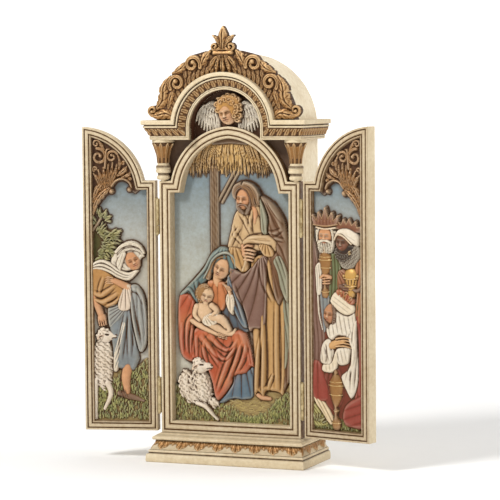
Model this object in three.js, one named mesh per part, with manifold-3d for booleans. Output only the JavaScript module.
// A table-top triptych altarpiece in painted cast resin: a standing case with a carved scene under an arch,
// and two hinged wings that fold shut over it. Millimetres, +Z up, front towards -Y.
// The origin is the middle of the plinth's underside. The wings are built open, as the piece is shown.
import * as THREE from 'three';
import { mergeVertices } from 'three/addons/utils/BufferGeometryUtils.js';
import Module from 'manifold-3d';

const wasm = await Module();
wasm.setup();

// Plinth
const PLINTH_PROJECTION = 7; // beyond the case's sides
const PLINTH_DEPTH = 49;
const PLINTH_HEIGHT = 17.5;

// Case, and the upper block that the columns carry
const CASE_WIDTH = 92;
const CASE_FRONT_SETBACK = 19; // from the plinth's front edge to the case's face
const BLOCK_FRONT_SETBACK = 8; // from the plinth's front edge to the upper block's face
const CORNICE_BOTTOM_HEIGHT = 202.2;
const ARCH_STILT = 7.3; // from the cornice's underside to the centre of its arch and of the round top
const CORNICE_HEIGHT = 12.3;
const CORNICE_PROJECTION = 6.5; // in front of the upper block
const CORNICE_SIDE_PROJECTION = 8.6; // beyond the case's sides
const NICHE_RADIUS = 23.7; // opening under the cornice's arch
const NICHE_DEPTH = 8;
const ARCH_RING_WIDTH = 10.9;
const FINIAL_HEIGHT = 17.5; // of the lily over the round top
const LILY_WIDTH = 15;
const LILY_RISE = 3.4;
const CREST_THICKNESS = 2.2; // of the plate behind the crest's leaves
const CREST_RISE = 3.8; // how far the leaves stand off it

// Frame of the middle panel
const FRAME_OVERLAP = 1; // beyond the case's sides
const FRAME_PROJECTION = 7; // in front of the case's face, and so the depth of the scene's recess
const FRAME_MOULDING = 8;
const SHOULDER_HEIGHT = 176.5;
const SHOULDER_WIDTH = 8;
const APEX_HEIGHT = 210.5;
const POINT_SHIFT = 2.5; // how far each arc's centre lies past the middle line, which makes the arch pointed

// Wings
const WING_THICKNESS = 9;
const WING_RECESS = 4;
const WING_MOULDING = 6.2;
const WING_GAP = 2.5; // between frame and wing, where the hinges sit
const WING_OPEN_ANGLE = 13; // degrees forward of flat, as shown
const MEETING_GAP = 0.6; // between the shut wings
const SHUT_GAP = 0.6; // between a shut wing and the frame
const WING_FOOT_GAP = 0.8; // between a wing's foot and the plinth
const WING_TOP_GAP = 0.8; // between a shut wing's shoulder and the column over it

// Columns
const COLUMN_RADIUS = 3.8;
const COLUMN_RING_RADIUS = 4.6;
const CAPITAL_RADIUS = 7;
const CAPITAL_HEIGHT = 13;
const COLUMN_INSET = 2.5; // from the frame's edge to a column's axis

// Hinges
const HINGE_LENGTH = 22.5;
const HINGE_LOWER_KNUCKLE = 5.6;
const HINGE_LEAF_WIDTH = 6;
const HINGE_LEAF_THICKNESS = 0.6;
const HINGE_BARREL_RADIUS = 1.1;
const HINGE_PIN_RADIUS = 0.5;
const HINGE_HEAD_RADIUS = 0.9;
const HINGE_CLEARANCE = 0.12;
const HINGE_UPPER_DROP = 33.7; // from the shoulder down to the upper hinge's lower end
const HINGE_LOWER_RISE = 12.3; // from the plinth up to the lower hinge's lower end

// Places that follow from the sizes
const BACK = PLINTH_DEPTH / 2;
const FRONT = -PLINTH_DEPTH / 2;
const CASE_FACE = FRONT + CASE_FRONT_SETBACK;
const BLOCK_FACE = FRONT + BLOCK_FRONT_SETBACK;
const FRAME_FACE = CASE_FACE - FRAME_PROJECTION;
const FRAME_WIDTH = CASE_WIDTH + 2 * FRAME_OVERLAP;
const PLINTH_WIDTH = CASE_WIDTH + 2 * PLINTH_PROJECTION;
const VAULT_CENTRE_HEIGHT = CORNICE_BOTTOM_HEIGHT + ARCH_STILT;
const CORNICE_TOP_HEIGHT = CORNICE_BOTTOM_HEIGHT + CORNICE_HEIGHT;
const VAULT_RADIUS = CASE_WIDTH / 2;
const VAULT_TOP_HEIGHT = VAULT_CENTRE_HEIGHT + VAULT_RADIUS;
const ARCH_OUTER_RADIUS = NICHE_RADIUS + ARCH_RING_WIDTH;
const PIN_X = FRAME_WIDTH / 2 + WING_GAP / 2;
const PIN_Y = FRAME_FACE - SHUT_GAP / 2;
const WING_WIDTH = FRAME_WIDTH / 2 - MEETING_GAP / 2;
const WING_FOOT = PLINTH_HEIGHT + WING_FOOT_GAP;
const SINK = 1; // how deep a carved form is rooted in what carries it
const TOOL_MARK = 0.1; // detail smaller than this is left out of the carving

// The scenes are drawn on fixed canons, which are stretched to the openings they fill
const MIDDLE_CANON = { left: -39, right: 39, sill: 25.5, top: 202.5, depth: 7 };
const CREST_CANON = { left: -46, right: 46, sill: 209.5, top: 255.5, depth: 3.8 };
const LILY_CANON = { left: -7.5, right: 7.5, sill: 255.5, top: 273, depth: 3.4 };
const NICHE_CANON = { left: -23.7, right: 23.7, sill: 209.5, top: 233.2, depth: 8 };
const WING_CANON = { left: 6.2, right: 40.5, sill: 24.5, top: 204, depth: 4 };

const colours = {
  cream: { color: 0xe6d6b4, roughness: 0.6, metalness: 0 },
  brass: { color: 0xb8a070, roughness: 0.4, metalness: 0.9 },
};

function material(name) {
  return new THREE.MeshStandardMaterial(colours[name]);
}

// Solids

function volumeOf(position, index) {
  const [a, b, c] = [new THREE.Vector3(), new THREE.Vector3(), new THREE.Vector3()];
  let sum = 0;
  for (let i = 0; i < index.length; i += 3) {
    a.fromArray(position, index[i] * 3);
    b.fromArray(position, index[i + 1] * 3);
    c.fromArray(position, index[i + 2] * 3);
    sum += a.dot(b.cross(c));
  }
  return sum / 6;
}

// A closed geometry as a solid that can be joined and cut, with its faces pointing out
function solid(geometry) {
  const bare = geometry.clone();
  bare.deleteAttribute('normal');
  bare.deleteAttribute('uv');
  const merged = mergeVertices(bare, 1e-3);
  const position = Float32Array.from(merged.attributes.position.array);
  const faces = [];
  for (let i = 0; i < merged.index.count; i += 3) {
    const face = [0, 1, 2].map((k) => merged.index.getX(i + k));
    if (new Set(face).size === 3) faces.push(face);
  }
  if (volumeOf(position, faces.flat()) < 0) faces.forEach((face) => face.reverse());
  return new wasm.Manifold(new wasm.Mesh({
    numProp: 3, vertProperties: position, triVerts: Uint32Array.from(faces.flat()),
  }));
}

const joined = (solids) => solids.reduce((whole, piece) => whole.add(piece));

function meshOf(name, shape, materialName) {
  const { vertProperties, triVerts } = shape.getMesh();
  const geometry = new THREE.BufferGeometry();
  geometry.setAttribute('position', new THREE.BufferAttribute(Float32Array.from(vertProperties), 3));
  geometry.setIndex(new THREE.BufferAttribute(Uint32Array.from(triVerts), 1));
  geometry.computeVertexNormals();
  const mesh = new THREE.Mesh(geometry, material(materialName));
  mesh.name = name;
  return mesh;
}

function box(x0, x1, y0, y1, z0, z1) {
  const geometry = new THREE.BoxGeometry(x1 - x0, y1 - y0, z1 - z0);
  return solid(geometry.translate((x0 + x1) / 2, (y0 + y1) / 2, (z0 + z1) / 2));
}

// A flat piece with the given front outline [[x, z], ...], from yBack forward to yFront
function plate(outline, yBack, yFront) {
  const shape = new THREE.Shape(outline.map(([x, z]) => new THREE.Vector2(x, z)));
  const geometry = new THREE.ExtrudeGeometry(shape, { depth: yBack - yFront, bevelEnabled: false });
  return solid(geometry.rotateX(Math.PI / 2).translate(0, yBack, 0));
}

// A turned piece on a vertical axis through (x, y)
function turned(profile, x, y, sides) {
  const points = profile.map(([radius, z]) => new THREE.Vector2(radius, z));
  const geometry = new THREE.LatheGeometry(points, sides);
  return solid(geometry.rotateX(Math.PI / 2).translate(x, y, 0));
}

// The surface through rings of points that match one to one. A loop closes on itself, and an open one is
// capped at both ends, where flat gives the section's shape.
function skin(rings, flat) {
  const count = rings[0].length;
  const index = [];
  const spans = flat ? rings.length - 1 : rings.length;
  for (let i = 0; i < spans; i++) {
    const here = i * count;
    const next = ((i + 1) % rings.length) * count;
    for (let j = 0; j < count; j++) {
      const k = (j + 1) % count;
      index.push(here + j, next + j, here + k, here + k, next + j, next + k);
    }
  }
  if (flat) {
    const contour = flat.map(([x, y]) => new THREE.Vector2(x, y));
    const turn = Math.sign(THREE.ShapeUtils.area(contour));
    const last = (rings.length - 1) * count;
    for (const face of THREE.ShapeUtils.triangulateShape(contour, [])) {
      const area = THREE.ShapeUtils.area(face.map((i) => contour[i]));
      const [a, b, c] = Math.sign(area) === turn ? face : [...face].reverse();
      index.push(a, b, c, last + a, last + c, last + b);
    }
  }
  const geometry = new THREE.BufferGeometry();
  geometry.setAttribute('position', new THREE.Float32BufferAttribute(rings.flat(2), 3));
  geometry.setIndex(index);
  return solid(geometry);
}

// Outlines

const arcPoints = (centreX, centreZ, radius, from, to, steps) => Array.from({ length: steps + 1 }, (_, i) => {
  const angle = from + ((to - from) * i) / steps;
  return [centreX + radius * Math.cos(angle), centreZ + radius * Math.sin(angle)];
});

// An outline moved inwards by a distance, corner by corner. It runs anticlockwise.
function inset(outline, distance) {
  const n = outline.length;
  const normal = ([x0, z0], [x1, z1]) => {
    const length = Math.hypot(x1 - x0, z1 - z0);
    return [(z0 - z1) / length, (x1 - x0) / length];
  };
  return outline.map((point, i) => {
    const [ax, az] = normal(outline[(i + n - 1) % n], point);
    const [bx, bz] = normal(point, outline[(i + 1) % n]);
    const scale = distance / (1 + ax * bx + az * bz);
    return [point[0] + (ax + bx) * scale, point[1] + (az + bz) * scale];
  });
}

// The right half of the frame's arch, from the shoulder's inner end up to the point
function archHalf(steps, stopX = 0) {
  const half = FRAME_WIDTH / 2 - SHOULDER_WIDTH;
  const rise = APEX_HEIGHT - SHOULDER_HEIGHT;
  const drop = (half ** 2 + rise ** 2 + 2 * half * POINT_SHIFT) / (2 * rise);
  const radius = Math.hypot(drop, POINT_SHIFT);
  const centreZ = APEX_HEIGHT - drop;
  const from = Math.acos((half + POINT_SHIFT) / radius);
  const to = Math.acos((stopX + POINT_SHIFT) / radius);
  return arcPoints(-POINT_SHIFT, centreZ, radius, from, to, steps);
}

const ARC_STEPS = 6;

function frameOutline() {
  const right = [[FRAME_WIDTH / 2, PLINTH_HEIGHT], [FRAME_WIDTH / 2, SHOULDER_HEIGHT], ...archHalf(ARC_STEPS)];
  const left = right.slice(0, -1).reverse().map(([x, z]) => [-x, z]);
  return [...right, ...left];
}

// A wing's outline, as distances from the hinge's pin. The arch matches the frame's when the wing is shut.
function wingOutline() {
  const edge = WING_GAP / 2;
  const arch = archHalf(ARC_STEPS, MEETING_GAP / 2).map(([x, z]) => [PIN_X - x, z]);
  return [
    [edge, WING_FOOT], [edge + WING_WIDTH, WING_FOOT], ...arch.reverse(), [edge, SHOULDER_HEIGHT],
  ];
}

// A moulded border round an outline, as [share of its width, depth below the face]
const borderProfile = [
  [0, 0], [0.22, 0], [0.26, 0.9], [0.32, 0.15], [0.64, 0.15], [0.69, 1.1], [0.74, 0.3], [0.93, 0.3],
];

function border(outline, width, face, back) {
  const section = [[0, back], ...borderProfile.map(([share, depth]) => [share * width, face + depth]), [width, back]];
  const offsets = section.map(([distance]) => inset(outline, distance));
  return skin(outline.map((_, i) => section.map(([, y], j) => [offsets[j][i][0], y, offsets[j][i][1]])));
}

// Carved forms. Every one stands on a relief: a face at some y, with its own scale for what is drawn on it.

const ROUND_SECTION = [[-1, 0], [-0.6, 0.8], [0, 1], [0.6, 0.8], [1, 0]];
const FLAT_SECTION = [[-1, 0], [-0.5, 1], [0.5, 1], [1, 0]];

class Relief {
  constructor(face, mapX = (x) => x, mapZ = (z) => z, rise = 1) {
    Object.assign(this, { face, mapX, mapZ, rise, solids: [] });
  }

  at(x, z, height) {
    return [this.mapX(x), this.face - height * this.rise, this.mapZ(z)];
  }

  // A rounded mass, tilted by an angle in degrees, whose middle lies at a height above the face
  ball(x, z, halfWidth, halfHeight, bulge, { lift = 0, tilt = 0, sides = 7, rows = 4 } = {}) {
    const geometry = new THREE.SphereGeometry(1, sides, rows);
    const place = geometry.attributes.position;
    const [cos, sin] = [Math.cos(THREE.MathUtils.degToRad(tilt)), Math.sin(THREE.MathUtils.degToRad(tilt))];
    for (let i = 0; i < place.count; i++) {
      const across = place.getX(i) * halfWidth;
      const along = place.getZ(i) * halfHeight;
      const point = this.at(x + across * cos - along * sin, z + across * sin + along * cos, lift + place.getY(i) * bulge);
      place.setXYZ(i, ...point);
    }
    this.solids.push(solid(geometry));
  }

  // A rounded ridge along a path of [x, z, half width, height], for limbs, folds and stems
  ridge(path, section = FLAT_SECTION) {
    const last = path.length - 1;
    const rings = path.map(([x, z, half, height], i) => {
      const [before, after] = [path[Math.max(0, i - 1)], path[Math.min(last, i + 1)]];
      const [dx, dz] = [after[0] - before[0], after[1] - before[1]];
      const length = Math.hypot(dx, dz);
      return section.map(([across, up]) => this.at(
        x - (dz / length) * across * half, z + (dx / length) * across * half,
        up === 0 ? -SINK : up * height,
      ));
    });
    this.solids.push(skin(rings, section));
  }

  // A flat-topped mass with bevelled edges and the given outline, for robes, cloaks and ground
  mass(outline, height, bevel = 1.2) {
    const shape = new THREE.Shape(outline.map(([x, z]) => new THREE.Vector2(x, z)));
    const geometry = new THREE.ExtrudeGeometry(shape, {
      depth: height / 2 + SINK, bevelThickness: height / 2, bevelSize: bevel, bevelOffset: -bevel, bevelSegments: 1,
    });
    const place = geometry.attributes.position;
    for (let i = 0; i < place.count; i++) {
      const up = Math.max(place.getZ(i) - SINK, -SINK);
      place.setXYZ(i, ...this.at(place.getX(i), place.getY(i), up));
    }
    this.solids.push(solid(geometry));
  }

  // A stem that curls into a spiral. The turn is in degrees, and is negative for a clockwise curl.
  scroll(x, z, radius, start, turn, half, height, steps = 6) {
    const path = Array.from({ length: steps + 1 }, (_, i) => {
      const share = i / steps;
      const angle = THREE.MathUtils.degToRad(start + turn * share);
      const reach = radius * (1 - 0.78 * share);
      return [x + reach * Math.cos(angle), z + reach * Math.sin(angle), half * (1 - 0.3 * share), height];
    });
    this.ridge(path);
  }
}

// A relief whose drawing fills an opening
function fitted(canon, face, depth, left, right, sill, top) {
  const mapX = (x) => left + ((x - canon.left) * (right - left)) / (canon.right - canon.left);
  const mapZ = (z) => sill + ((z - canon.sill) * (top - sill)) / (canon.top - canon.sill);
  return new Relief(face, mapX, mapZ, depth / canon.depth);
}

// Plinth

const PLINTH_STEPS = [ // [height, how far it stands out past the case's footprint, as a share of the most]
  [0, 0.93], [0.05, 1], [0.24, 1], [0.31, 0.92], [0.33, 0.8], [0.43, 0.76], [0.55, 0.5], [0.76, 0.36],
  [0.78, 0.58], [0.88, 0.62], [0.94, 0.36], [1, 0.12],
];
const LEAF_COUNT = 8;
const LEAF_SIDE_COUNT = 3;

function plinthLevel([share, out]) {
  const side = CASE_WIDTH / 2 + ((PLINTH_WIDTH - CASE_WIDTH) / 2) * out;
  const front = FRAME_FACE - (FRAME_FACE - FRONT) * out;
  const z = share * PLINTH_HEIGHT;
  return [[-side, BACK, z], [-side, front, z], [side, front, z], [side, BACK, z]];
}

// A lambrequin's hanging leaf, as [across, drop] in shares of its pitch and its height
const LEAF_OUTLINE = [[-0.42, 0], [-0.42, 0.4], [0, 0.98], [0.42, 0.4], [0.42, 0]];

// The leaf hangs on a sloping face, which place() gives for a share across, a drop and a height off the face
function leaf(place) {
  const ring = (size, out) => LEAF_OUTLINE.map(([across, drop]) => place(across * size, 0.3 + (drop - 0.3) * size, out));
  return [skin([ring(1, -0.6), ring(0.8, 1)], LEAF_OUTLINE)];
}

function plinthLeaves() {
  const [upper, lower] = [PLINTH_STEPS[7], PLINTH_STEPS[6]];
  const [top, bottom] = [plinthLevel(upper), plinthLevel(lower)];
  const height = (upper[0] - lower[0]) * PLINTH_HEIGHT;
  const relief = 1;
  const pitch = (2 * top[2][0]) / LEAF_COUNT;
  const slopeY = bottom[1][1] - top[1][1];
  const slopeX = bottom[2][0] - top[2][0];
  const leaves = [];
  for (let i = 0; i < LEAF_COUNT; i++) {
    const middle = top[0][0] + pitch * (i + 0.5);
    leaves.push(...leaf((across, drop, out) => [
      middle + across * pitch, top[1][1] + slopeY * drop - out * relief, top[1][2] - drop * height,
    ]));
  }
  const sidePitch = (BACK - top[1][1]) / LEAF_SIDE_COUNT / 1.1;
  for (let i = 0; i < LEAF_SIDE_COUNT; i++) {
    const middle = top[1][1] + sidePitch * (i + 0.6);
    for (const side of [-1, 1]) {
      leaves.push(...leaf((across, drop, out) => [
        side * (top[2][0] + slopeX * drop + out * relief), middle + across * sidePitch, top[1][2] - drop * height,
      ]));
    }
  }
  return leaves;
}

function plinth() {
  const levels = PLINTH_STEPS.map(plinthLevel);
  const flat = [[0, 0], [0, 1], [1, 1], [1, 0]];
  return [skin(levels, flat), ...plinthLeaves()];
}

// Case

function caseBody() {
  const half = CASE_WIDTH / 2;
  const lower = box(-half, half, CASE_FACE, BACK, PLINTH_HEIGHT - SINK, CORNICE_BOTTOM_HEIGHT + SINK);
  const vault = arcPoints(0, VAULT_CENTRE_HEIGHT, VAULT_RADIUS, 0, Math.PI, 20);
  const outline = [[half, CORNICE_BOTTOM_HEIGHT], ...vault, [-half, CORNICE_BOTTOM_HEIGHT]];
  const upper = plate(outline, BACK, BLOCK_FACE);
  const niche = [
    [NICHE_RADIUS, CORNICE_BOTTOM_HEIGHT - SINK],
    ...arcPoints(0, VAULT_CENTRE_HEIGHT, NICHE_RADIUS, 0, Math.PI, 12),
    [-NICHE_RADIUS, CORNICE_BOTTOM_HEIGHT - SINK],
  ];
  return lower.add(upper).subtract(plate(niche, BLOCK_FACE + NICHE_DEPTH, FRONT));
}

// The cornice's section, as [share of its height, share of its projection]
const corniceProfile = [
  [0, 0.28], [0.16, 0.28], [0.19, 0.34], [0.45, 0.52], [0.6, 0.76], [0.63, 0.82], [0.72, 0.82], [0.76, 0.9],
  [0.8, 1], [1, 1],
];

// The cornice runs from the back, round the corner, over the arch and back again
function cornice() {
  const section = [[0, -0.3], ...corniceProfile, [1, -0.3]];
  const steps = 10;
  const point = ([rise, out], station) => {
    const offset = rise * CORNICE_HEIGHT;
    const z = CORNICE_BOTTOM_HEIGHT + offset;
    const radius = NICHE_RADIUS + rise * ARCH_RING_WIDTH;
    const above = Math.max(0, z - VAULT_CENTRE_HEIGHT);
    const start = Math.asin(above / radius);
    const sideShare = 0.35 + 0.65 * out;
    const side = VAULT_RADIUS + (out < 0 ? -SINK : CORNICE_SIDE_PROJECTION * sideShare);
    const front = BLOCK_FACE - out * CORNICE_PROJECTION;
    if (station.kind === 'back') return [side, BACK, z];
    if (station.kind === 'corner') return [side, front, z];
    if (station.kind === 'mitre') return [radius * Math.cos(start), front, z];
    const angle = start + (Math.PI - 2 * start) * station.share;
    return [radius * Math.cos(angle), front, VAULT_CENTRE_HEIGHT + radius * Math.sin(angle)];
  };
  const right = [{ kind: 'back' }, { kind: 'corner' }, { kind: 'mitre' }];
  const arch = Array.from({ length: steps + 1 }, (_, i) => ({ kind: 'arch', share: i / steps }));
  const ringsOf = (stations, mirror) => stations.map((s) => section.map((p) => {
    const [x, y, z] = point(p, s);
    return [x * mirror, y, z];
  }));
  const rings = [...ringsOf([...right, ...arch], 1), ...ringsOf([...right].reverse(), -1)];
  return skin(rings, section);
}

function columns() {
  const y = (CASE_FACE + BLOCK_FACE) / 2;
  const foot = y - FRAME_FACE; // rooted in the frame's shoulder, and no further forward than its face
  const neck = CORNICE_BOTTOM_HEIGHT - CAPITAL_HEIGHT;
  const rings = neck - SHOULDER_HEIGHT;
  const profile = [
    [0, SHOULDER_HEIGHT - SINK], [foot, SHOULDER_HEIGHT - SINK], [foot, SHOULDER_HEIGHT + WING_TOP_GAP / 2],
    [COLUMN_RADIUS, SHOULDER_HEIGHT + WING_TOP_GAP], [COLUMN_RADIUS, neck - 0.5 * rings],
    [COLUMN_RING_RADIUS, neck - 0.42 * rings], [COLUMN_RING_RADIUS, neck - 0.15 * rings], [COLUMN_RADIUS, neck],
    [COLUMN_RADIUS * 1.2, neck + 0.45 * CAPITAL_HEIGHT], [CAPITAL_RADIUS, CORNICE_BOTTOM_HEIGHT + SINK],
    [0, CORNICE_BOTTOM_HEIGHT + SINK],
  ];
  return [-1, 1].map((side) => turned(profile, side * (FRAME_WIDTH / 2 - COLUMN_INSET), y, 10));
}

// The crest over the arch: a plate with scrolls, a hanging palmette and a lily on top

const CREST_EDGE = [ // [angle round the vault in degrees, how far the leaves reach past its radius]
  [14, 5], [20, 0.4], [30, 1.8], [40, 3], [46, 0], [56, 1.6], [66, 3.7], [76, 3], [83, 1],
];

function crest() {
  const edge = CREST_EDGE.map(([degrees, reach]) => {
    const angle = THREE.MathUtils.degToRad(degrees);
    const radius = VAULT_RADIUS + reach;
    return [radius * Math.cos(angle), VAULT_CENTRE_HEIGHT + radius * Math.sin(angle)];
  });
  const seat = BLOCK_FACE + SINK;
  const start = Math.asin((CORNICE_HEIGHT - ARCH_RING_WIDTH / 2) / ARCH_OUTER_RADIUS);
  const backing = [
    [ARCH_OUTER_RADIUS, CORNICE_TOP_HEIGHT - SINK], [VAULT_RADIUS, CORNICE_TOP_HEIGHT - SINK], ...edge,
    ...edge.map(([x, z]) => [-x, z]).reverse(),
    [-VAULT_RADIUS, CORNICE_TOP_HEIGHT - SINK], [-ARCH_OUTER_RADIUS, CORNICE_TOP_HEIGHT - SINK],
    ...arcPoints(0, VAULT_CENTRE_HEIGHT, ARCH_OUTER_RADIUS - SINK, Math.PI - start, start, 10),
  ];
  const face = BLOCK_FACE - CREST_THICKNESS / 2;
  const relief = fitted(CREST_CANON, face, CREST_RISE, -VAULT_RADIUS, VAULT_RADIUS, VAULT_CENTRE_HEIGHT, VAULT_TOP_HEIGHT);
  const lily = fitted(LILY_CANON, face, LILY_RISE, -LILY_WIDTH / 2, LILY_WIDTH / 2,
    VAULT_TOP_HEIGHT, VAULT_TOP_HEIGHT + FINIAL_HEIGHT);
  for (const side of [-1, 1]) {
    const s = (x) => side * x;
    const curl = (x, z, radius, start, turn, half, height, steps) => relief.scroll(
      s(x), z, radius, side > 0 ? start : 180 - start, side * turn, half, height, steps);
    const leafAt = (x, z, long, wide, tilt, height) => relief.ball(
      s(x), z, wide, long, height, { tilt: side * tilt, sides: 6, rows: 4 });
    curl(47.5, 219.5, 3, -120, 330, 1.2, 3.2, 5);
    relief.ridge([[s(35), 216.5, 1.4, 2.4], [s(40), 218.5, 2, 3.2], [s(46), 216.4, 1.2, 2.6]]);
    leafAt(40.6, 224, 4.4, 2, 40, 3);
    leafAt(38.6, 231, 5.4, 2.2, 30, 3.4);
    curl(30.5, 238, 5, -60, 380, 1.5, 3.8, 6);
    curl(19, 249, 5, 200, -360, 1.5, 3.8, 6);
    leafAt(12.5, 252.5, 5, 1.8, 80, 3.2);
    leafAt(3.6, 249.5, 4.6, 1.3, 25, 3.2);
    lily.scroll(s(5.4), 259.2, 2.9, side > 0 ? -140 : -40, side * 340, 1, 3.4, 5);
    lily.ridge([[s(1.2), 259, 0.8, 2.4], [s(3.5), 263.5, 1.3, 2.8], [s(6.6), 266, 0.5, 2]]);
  }
  relief.ball(0, 249, 1.8, 6, 3.6, { sides: 6 });
  lily.ridge([[0, 257, 1.6, 3], [0, 262, 1.8, 3.2], [0, 267, 3, 3.4], [0, 270.4, 1.8, 2.6], [0, 273, 0.4, 1.4]]);
  lily.ridge([[-5.6, 255.8, 1.8, 2.9], [5.6, 255.8, 1.8, 2.9]]);
  const lilyBack = [[-4.5, 252], [4.5, 252], [7.5, 260], [2.6, 262], [3, 267], [0.4, 272.4], [-0.4, 272.4], [-3, 267],
    [-2.6, 262], [-7.5, 260]].map(([x, z]) => [lily.mapX(x), lily.mapZ(z)]);
  return [
    plate(backing, seat, BLOCK_FACE - CREST_THICKNESS), plate(lilyBack, seat, BLOCK_FACE - CREST_THICKNESS),
    ...relief.solids, ...lily.solids,
  ];
}

// The winged child's head in the niche
function cherub() {
  const relief = fitted(NICHE_CANON, BLOCK_FACE + NICHE_DEPTH, NICHE_DEPTH, -NICHE_RADIUS, NICHE_RADIUS,
    VAULT_CENTRE_HEIGHT, VAULT_CENTRE_HEIGHT + NICHE_RADIUS);
  relief.ball(0.5, 219.4, 6.6, 8, 6.2, { lift: 0.8, tilt: 12, rows: 5 });
  relief.ball(1.5, 224, 8.6, 6.4, 5.6, { lift: 0.6, tilt: 12 });
  relief.ridge([[0, 212.6, 3.4, 2.6], [0, 208, 5, 2.2]]);
  for (const side of [-1, 1]) {
    relief.mass([[5, 211], [15, 210], [20, 207], [18, 216], [13, 223.5], [8, 220]]
      .map(([x, z]) => [side * x, z]), 2.2, 1);
    for (let i = 0; i < 3; i++) {
      const lean = i / 2;
      relief.ridge([[side * (8 + 5 * lean), 220 - 1.5 * lean, 1, 3], [side * (10 + 8 * lean), 209 - 1.5 * lean, 1.2, 3]]);
    }
  }
  return relief.solids;
}

// The middle scene: a seated mother with a child on her lap, a standing man, a lamb and a stable

function shed(relief) {
  relief.mass([[-14.6, 128], [-9, 128], [-9, 184], [-14.6, 184]], 1.4, 0.4);
  relief.ridge([[-8.5, 166, 1.5, 1.2], [3.5, 183, 1.5, 1.2]]);
  const teeth = 7;
  const fringe = Array.from({ length: 2 * teeth + 1 }, (_, i) => [-27 + (54 * i) / (2 * teeth), i % 2 ? 180.5 : 184.5]);
  relief.mass([...fringe, [21, 192], [12, 199], [0, 202], [-12, 199], [-21, 192]], 3, 0.8);
}

function ground(relief) {
  relief.mass([[-38.6, 25.8], [38.6, 25.8], [38.6, 45], [30, 42], [10, 41], [-10, 39], [-30, 38], [-38.6, 44]], 1.6, 1);
}

function standingMan(relief) {
  relief.mass([
    [14.5, 42], [22, 40], [33, 43], [38.2, 50], [38.4, 148], [35, 156], [29, 162], [19, 167], [6, 160], [1, 150],
    [-2, 136], [4, 120], [12, 110], [13.5, 80],
  ], 3.2, 1.6);
  relief.mass([[31, 100], [38.2, 108], [38.4, 146], [35, 156], [29, 162], [20, 167], [19.5, 150], [27, 142], [30, 128]], 4.6, 1.2);
  relief.ball(9.4, 165.2, 6.4, 9, 4.6, { lift: 1.6, tilt: 14, rows: 5 });
  relief.ball(12.6, 169.4, 8, 7.6, 4.2, { lift: 1.4, tilt: -20 });
  relief.ball(9.4, 158.6, 4, 4.6, 4.4, { lift: 1.6, sides: 6, rows: 4 });
  relief.ridge([[5, 152, 4.2, 4.4], [2.6, 136, 5, 5], [10, 130, 4.6, 5.4]]);
  relief.ridge([[34, 150, 4, 5], [28, 135, 5.4, 6], [19, 140, 4, 5.8], [10, 140.6, 3, 5.4]]);
  relief.ball(13, 132.5, 4.4, 4.2, 5.8, { sides: 6, rows: 4 });
  for (const [top, knee, hem] of [[18, 17, 17], [24.5, 24, 24], [32, 34, 35]]) {
    relief.ridge([[top, 124, 1, 3.8], [knee, 90, 1.6, 4.8], [hem, 46, 2, 4.6]]);
  }
  relief.ridge([[22, 130, 1.8, 5], [24, 112, 2.4, 5.4], [31, 101, 2.2, 5.4]]);
}

function seatedMother(relief) {
  relief.mass([[-35, 104], [-24, 112], [-16, 124], [-12, 132], [-5, 136], [1, 133.5], [3.4, 126], [0, 112], [8, 92], [11, 84],
    [-6, 86], [-22, 94], [-30, 100]], 3, 1.4);
  relief.mass([[-35, 102], [-28, 102], [-22, 88], [0, 88], [9, 84], [12.5, 76], [15, 61.5], [8, 55], [1, 54.5], [-3, 46],
    [-9.5, 39.5], [-14, 47], [-20, 62], [-32, 65], [-35, 84]], 4.4, 1.6);
  relief.mass([[1, 55], [11, 57], [14.4, 44], [13, 40.5], [0, 40.5], [-7, 38.6], [-3, 46]], 3, 1);
  relief.ball(-7, 122.4, 5.8, 7.6, 4.6, { lift: 1.4, tilt: -24, rows: 5 });
  relief.ridge([[-15, 121, 1.8, 4.4], [-11.5, 129.5, 1.8, 5], [-4, 132.6, 1.8, 5], [0.8, 128, 1.6, 4.2]]);
  relief.ridge([[-1, 113, 2.4, 4.2], [3.4, 99, 3, 4.8], [8.6, 87, 2.4, 4.6]]);
  relief.ridge([[0, 96, 2, 5], [-2.6, 104.6, 1.8, 5.4], [-4.6, 109.6, 1.2, 5]]);
  relief.ridge([[-31, 99, 3, 5], [-31, 82, 3, 5.6], [-30, 68, 2.6, 5]]);
  for (const [x, z] of [[-24, 60], [-9, 46], [8, 60]]) {
    relief.ridge([[x * 0.4 + 1, 81, 1.4, 5.4], [x * 0.8, 0.5 * (81 + z), 1.8, 6], [x, z + 3, 1.6, 5]]);
  }
}

function child(relief) {
  relief.ball(-17.6, 105, 4.9, 5.4, 3, { lift: 4, tilt: 10 });
  relief.ball(-17, 94.4, 7, 6.6, 2.8, { lift: 4, tilt: 30 });
  relief.ridge([[-12, 92, 3.4, 6.4], [-5, 88.6, 3, 6.6], [-1, 84.6, 2, 6]]);
  relief.ridge([[-14, 87, 3.2, 6.2], [-6, 83, 2.8, 6.4], [2.4, 81.4, 1.8, 6]]);
  relief.ridge([[-24.6, 87.4, 2.2, 6], [-15, 82.4, 2, 6], [-8, 79.6, 1.6, 5.6]]);
}

function lyingLamb(relief) {
  relief.ball(-30, 47.6, 8.4, 8.4, 4.6, { lift: 0.6 });
  relief.ball(-20.6, 46.6, 7.6, 11.4, 5, { lift: 0.8, tilt: 14 });
  relief.ball(-21.6, 60, 5.2, 4.8, 3.6, { lift: 3 });
  relief.ridge([[-21, 60.4, 3, 6.2], [-15, 61.6, 2, 5.6]]);
  relief.ridge([[-23, 37.5, 2.2, 5], [-17, 34, 1.8, 4.6], [-11, 26.8, 1.2, 3.6]]);
  relief.ball(-12, 36, 3.6, 2.4, 4.4, { tilt: -14, sides: 6, rows: 4 });
}

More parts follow.
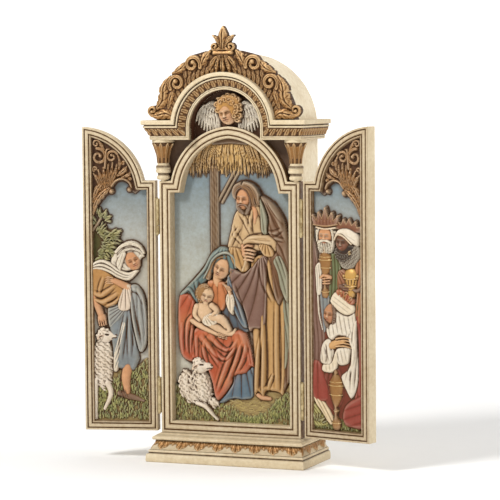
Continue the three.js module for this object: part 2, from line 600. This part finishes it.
function middleScene() {
  const half = FRAME_WIDTH / 2 - FRAME_MOULDING;
  const relief = fitted(MIDDLE_CANON, CASE_FACE, FRAME_PROJECTION, -half, half,
    PLINTH_HEIGHT + FRAME_MOULDING, APEX_HEIGHT - FRAME_MOULDING);
  [shed, ground, standingMan, seatedMother, child, lyingLamb].forEach((carve) => carve(relief));
  const opening = plate(inset(frameOutline(), FRAME_MOULDING * 0.9), CASE_FACE + 2 * SINK, FRAME_FACE + 0.3);
  return joined(relief.solids).intersect(opening);
}

function altarCase() {
  const frame = border(frameOutline(), FRAME_MOULDING, FRAME_FACE, CASE_FACE + SINK);
  const solids = [
    caseBody(), ...plinth(), cornice(), ...columns(), frame, middleScene(), ...crest(), ...cherub(),
  ];
  return meshOf('case', joined(solids).simplify(TOOL_MARK), 'cream');
}

// Wings. Each is built from its pin outwards, its carved face at y = SHUT_GAP / 2 and its plain back behind.

function wingOrnament(relief) {
  relief.scroll(36.4, 192, 5, -100, 400, 1.1, 2.6, 7);
  relief.scroll(37, 200, 2.4, -60, 260, 0.9, 2.2, 4);
  relief.scroll(27, 189.6, 4.2, 150, -380, 1.1, 2.6);
  relief.scroll(18.6, 182, 2.6, 200, -300, 0.9, 2.4, 5);
  relief.ridge([[31.4, 195, 0.8, 2.2], [33, 184, 1.8, 2.8], [38, 170, 2, 2.8], [40, 157, 0.8, 1.8]]);
  relief.ridge([[24, 188, 1, 2.4], [36, 168, 1.4, 2.6]]);
  relief.ridge([[17, 171, 0.9, 2.6], [18, 175, 1, 2.6], [22, 176.6, 1.1, 2.6], [27, 174.6, 1.1, 2.6], [29.6, 170.6, 0.9, 2.6]]);
  relief.ball(17.6, 170.6, 1.5, 1.4, 2.8, { sides: 6, rows: 4 });
  relief.ball(29, 170.4, 1.7, 1.7, 2.8, { sides: 6, rows: 4 });
}

function herdsmanScene(relief) {
  relief.mass([[6.6, 25], [40.2, 25], [40.2, 46], [30, 50], [16, 58], [6.6, 60]], 0.9, 0.6);
  for (const [x, z, long, tilt] of [[36, 151, 5.4, -30], [31, 143, 7, 50], [36, 136, 6, 65], [38, 127, 5, 20]]) {
    relief.ball(x, z, 2.6, long, 1.6, { tilt: -tilt, sides: 6, rows: 4 });
  }
  relief.mass([[27, 92], [28, 56.5], [22, 55.6], [13.5, 58], [12, 70], [9, 72], [7.4, 80], [7.6, 104], [14, 111], [22, 104]], 2.2, 1);
  relief.mass([[40.4, 121], [34, 122.6], [24, 118], [17, 114], [19, 106], [27, 97], [33, 95], [40.4, 99]], 2.6, 1);
  relief.ball(15.8, 126.6, 5.2, 6.8, 3, { lift: 0.6, tilt: 14, rows: 5 });
  relief.ball(18, 130.6, 8.4, 6.6, 2.8, { lift: 0.4, tilt: -16 });
  relief.ridge([[38, 124.4, 2, 2.8], [29, 123, 3, 3.2], [21, 118, 2.2, 3.2], [13, 119.5, 1.4, 2.8]]);
  relief.ridge([[37.6, 117, 3, 3.2], [38, 103, 3.2, 3.4], [35.6, 93.4, 2.6, 3.2], [34.4, 86, 2, 2.6]]);
  relief.ridge([[31.6, 113.4, 1.8, 3.4], [24, 110, 2.6, 3.6], [19, 106, 3, 3.4], [18, 97, 2.4, 3]]);
  for (const [x, z] of [[25, 60], [19, 62], [12, 70]]) {
    relief.ridge([[16 + 0.3 * (x - 16), 98, 0.9, 2.6], [x, z, 1.4, 3]]);
  }
  relief.ridge([[19.6, 58, 3.2, 2.2], [20.6, 50, 3, 2.4], [20.4, 42, 2.2, 2.2]]);
  relief.ridge([[24.6, 41, 1.8, 2], [18, 39.4, 2.2, 2.2], [11, 37.4, 1, 1.6]]);
  relief.ball(36, 60, 6, 16.4, 3.2, { tilt: 3 });
  relief.ball(34.6, 77.6, 5.6, 4.8, 2.6, { lift: 1 });
  relief.ridge([[33, 77.4, 3, 3.4], [27.4, 77.6, 2, 2.8]]);
  relief.ridge([[39.4, 48, 2, 2.6], [39.8, 26, 1.2, 1.8]]);
  relief.ridge([[34, 46, 2, 2.6], [31.4, 39.4, 1.5, 2.2], [35, 31.4, 1, 1.8]]);
}

function cup(relief, x, z, size, height) {
  relief.ridge([[x, z - size, size * 0.6, height * 0.8], [x, z - 0.5 * size, size * 0.2, height * 0.8],
    [x, z, size * 0.7, height], [x, z + size, size * 0.8, height], [x, z + 1.5 * size, size * 0.2, height * 0.8]]);
}

function kingsScene(relief) {
  relief.mass([[6.6, 25], [40.2, 25], [40.2, 34], [6.6, 38]], 0.9, 0.6);
  relief.mass([[6.8, 66], [6.8, 148], [23, 148], [30, 128], [40.2, 128], [40.2, 92], [20, 92], [12, 70]], 1.8, 1);
  relief.ball(14, 143.6, 5.6, 6.8, 2.8, { lift: 0.6, rows: 5 });
  relief.ball(14, 138, 5.6, 5.6, 3, { lift: 0.4, sides: 6, rows: 4 });
  relief.mass([[7, 150], [23, 150], [24, 156], [20.4, 154.4], [18, 157], [15, 160], [12.4, 156.6], [10, 154.8], [7, 156]], 3, 0.6);
  relief.ball(26.6, 140.6, 5.2, 6.8, 3, { lift: 0.6, tilt: 8, rows: 5 });
  relief.ball(31.4, 144.6, 8.2, 4.8, 3, { lift: 0.6, tilt: -18 });
  relief.ball(27.6, 133.4, 6, 4.4, 2.8, { sides: 6, rows: 4 });
  relief.ridge([[9, 128, 1.8, 2.8], [9.4, 104, 2, 2.8], [8.6, 76, 2, 2.6]]);
  cup(relief, 14.8, 128, 4.8, 3.2);
  cup(relief, 33.4, 117.6, 5.6, 3.4);
  relief.mass([[11.4, 68], [14, 84], [22, 92], [36, 98], [37.8, 60], [33, 46], [29, 50], [26, 60], [14, 60.6]], 2.8, 1.2);
  relief.mass([[6.8, 45.6], [8, 65], [14, 62], [22, 40], [20, 37]], 2.4, 1);
  relief.mass([[26, 46], [37, 46], [40.2, 90], [40.4, 28], [32, 27], [27, 33]], 2.6, 1);
  relief.ball(20, 96.6, 4.6, 6.4, 3, { lift: 0.4, tilt: 8, rows: 5 });
  relief.ball(28, 102.4, 8.6, 4.6, 3.4, { lift: 0.6, tilt: -14 });
  relief.ball(30.6, 107, 6.4, 4.2, 3, { lift: 0.6, tilt: -14, sides: 6, rows: 4 });
  for (const [x, z] of [[25, 86], [32, 83]]) {
    relief.ridge([[x, 98, 1.4, 3.4], [x + 1, z, 1.6, 3.6]]);
  }
  relief.ridge([[18, 78, 3.4, 3.6], [25, 78.6, 2.8, 3.8], [32.4, 80.4, 1.6, 3.4]]);
  relief.ridge([[34, 66, 2.4, 3.4], [33.6, 50, 2.4, 3.2]]);
  relief.ridge([[22.4, 29.6, 3.6, 2.8], [22.4, 33, 1, 2.8], [22.4, 39.6, 1.2, 3.2], [22.4, 46, 4, 3.8], [22.4, 53, 4.8, 3.8],
    [22.4, 57, 2, 3.2]]);
}

function wing(name, scene, side) {
  const face = SHUT_GAP / 2;
  const outline = wingOutline();
  const back = face + WING_THICKNESS;
  const floor = face + WING_RECESS;
  const edge = WING_GAP / 2;
  const relief = fitted(WING_CANON, floor, WING_RECESS, edge + WING_MOULDING, edge + WING_WIDTH - WING_MOULDING,
    WING_FOOT + WING_MOULDING, APEX_HEIGHT - WING_MOULDING);
  scene(relief);
  wingOrnament(relief);
  const opening = plate(inset(outline, WING_MOULDING * 0.9), floor + 2 * SINK, face + 0.1);
  const carving = joined(relief.solids).intersect(opening);
  const whole = joined([plate(outline, back, floor), border(outline, WING_MOULDING, face, floor + SINK), carving]);
  const mesh = meshOf(name, whole.simplify(TOOL_MARK), 'cream');
  return side > 0 ? mesh : mirrored(mesh);
}

function mirrored(mesh) {
  const place = mesh.geometry.attributes.position;
  for (let i = 0; i < place.count; i++) place.setX(i, -place.getX(i));
  const { array } = mesh.geometry.index;
  for (let i = 0; i < array.length; i += 3) [array[i], array[i + 1]] = [array[i + 1], array[i]];
  mesh.geometry.computeVertexNormals();
  return mesh;
}

// Hinges. Each has a leaf on the case, a leaf on the wing and a headed pin. They are drawn about the pin.

const HINGE_SIDES = 6;

function knuckle(bottom, top) {
  const bore = HINGE_PIN_RADIUS + HINGE_CLEARANCE;
  const ring = [[bore, bottom], [HINGE_BARREL_RADIUS, bottom], [HINGE_BARREL_RADIUS, top], [bore, top], [bore, bottom]];
  return turned(ring, 0, 0, HINGE_SIDES);
}

function hingeLeaf(name, side, knuckleSpan, height) {
  const near = WING_GAP / 2 - HINGE_CLEARANCE;
  const xs = [side * near, side * (near - HINGE_LEAF_THICKNESS)].sort((a, b) => a - b);
  const leafPlate = box(xs[0], xs[1], 0, HINGE_LEAF_WIDTH, 0, HINGE_LENGTH);
  const [bottom, top] = knuckleSpan;
  const others = [[-1, bottom - HINGE_CLEARANCE], [top + HINGE_CLEARANCE, HINGE_LENGTH + 1]]
    .filter(([from, to]) => from < HINGE_LENGTH && to > 0);
  const room = HINGE_BARREL_RADIUS + HINGE_CLEARANCE;
  const trimmed = others.reduce((shape, [from, to]) => shape.subtract(box(-room, room, -1, room, from, to)), leafPlate);
  const bored = trimmed.subtract(turned([
    [0, -1], [HINGE_PIN_RADIUS + HINGE_CLEARANCE, -1], [HINGE_PIN_RADIUS + HINGE_CLEARANCE, HINGE_LENGTH + 1],
    [0, HINGE_LENGTH + 1],
  ], 0, 0, HINGE_SIDES));
  const mesh = meshOf(name, bored.add(knuckle(bottom, top)), 'brass');
  mesh.position.z = height;
  return mesh;
}

function hingePin(name, height) {
  const head = 0.6;
  const gap = HINGE_CLEARANCE;
  const profile = [
    [0, -head - gap], [HINGE_HEAD_RADIUS, -head - gap], [HINGE_HEAD_RADIUS, -gap], [HINGE_PIN_RADIUS, -gap],
    [HINGE_PIN_RADIUS, HINGE_LENGTH + gap], [HINGE_HEAD_RADIUS, HINGE_LENGTH + gap],
    [HINGE_HEAD_RADIUS * 0.6, HINGE_LENGTH + gap + head], [0, HINGE_LENGTH + gap + head],
  ];
  const mesh = meshOf(name, turned(profile, 0, 0, HINGE_SIDES), 'brass');
  mesh.position.z = height;
  return mesh;
}

const CASE_KNUCKLE = [0, HINGE_LOWER_KNUCKLE];
const WING_KNUCKLE = [HINGE_LOWER_KNUCKLE + HINGE_CLEARANCE, HINGE_LENGTH];

function wingSide(word, side, scene) {
  const still = new THREE.Group();
  still.position.set(side * PIN_X, PIN_Y, 0);
  const swinging = new THREE.Group();
  swinging.position.copy(still.position);
  swinging.rotation.z = THREE.MathUtils.degToRad(-side * WING_OPEN_ANGLE);
  swinging.add(wing(`${word}_wing`, scene, side));
  const levels = [['upper', SHOULDER_HEIGHT - HINGE_UPPER_DROP], ['lower', PLINTH_HEIGHT + HINGE_LOWER_RISE]];
  for (const [level, height] of levels) {
    still.add(hingeLeaf(`${word}_${level}_hinge_case_leaf`, -side, CASE_KNUCKLE, height));
    still.add(hingePin(`${word}_${level}_hinge_pin`, height));
    swinging.add(hingeLeaf(`${word}_${level}_hinge_wing_leaf`, side, WING_KNUCKLE, height));
  }
  return [still, swinging];
}

const altarpiece = new THREE.Group();
altarpiece.add(altarCase());
altarpiece.add(...wingSide('left', -1, herdsmanScene));
altarpiece.add(...wingSide('right', 1, kingsScene));

export default altarpiece;
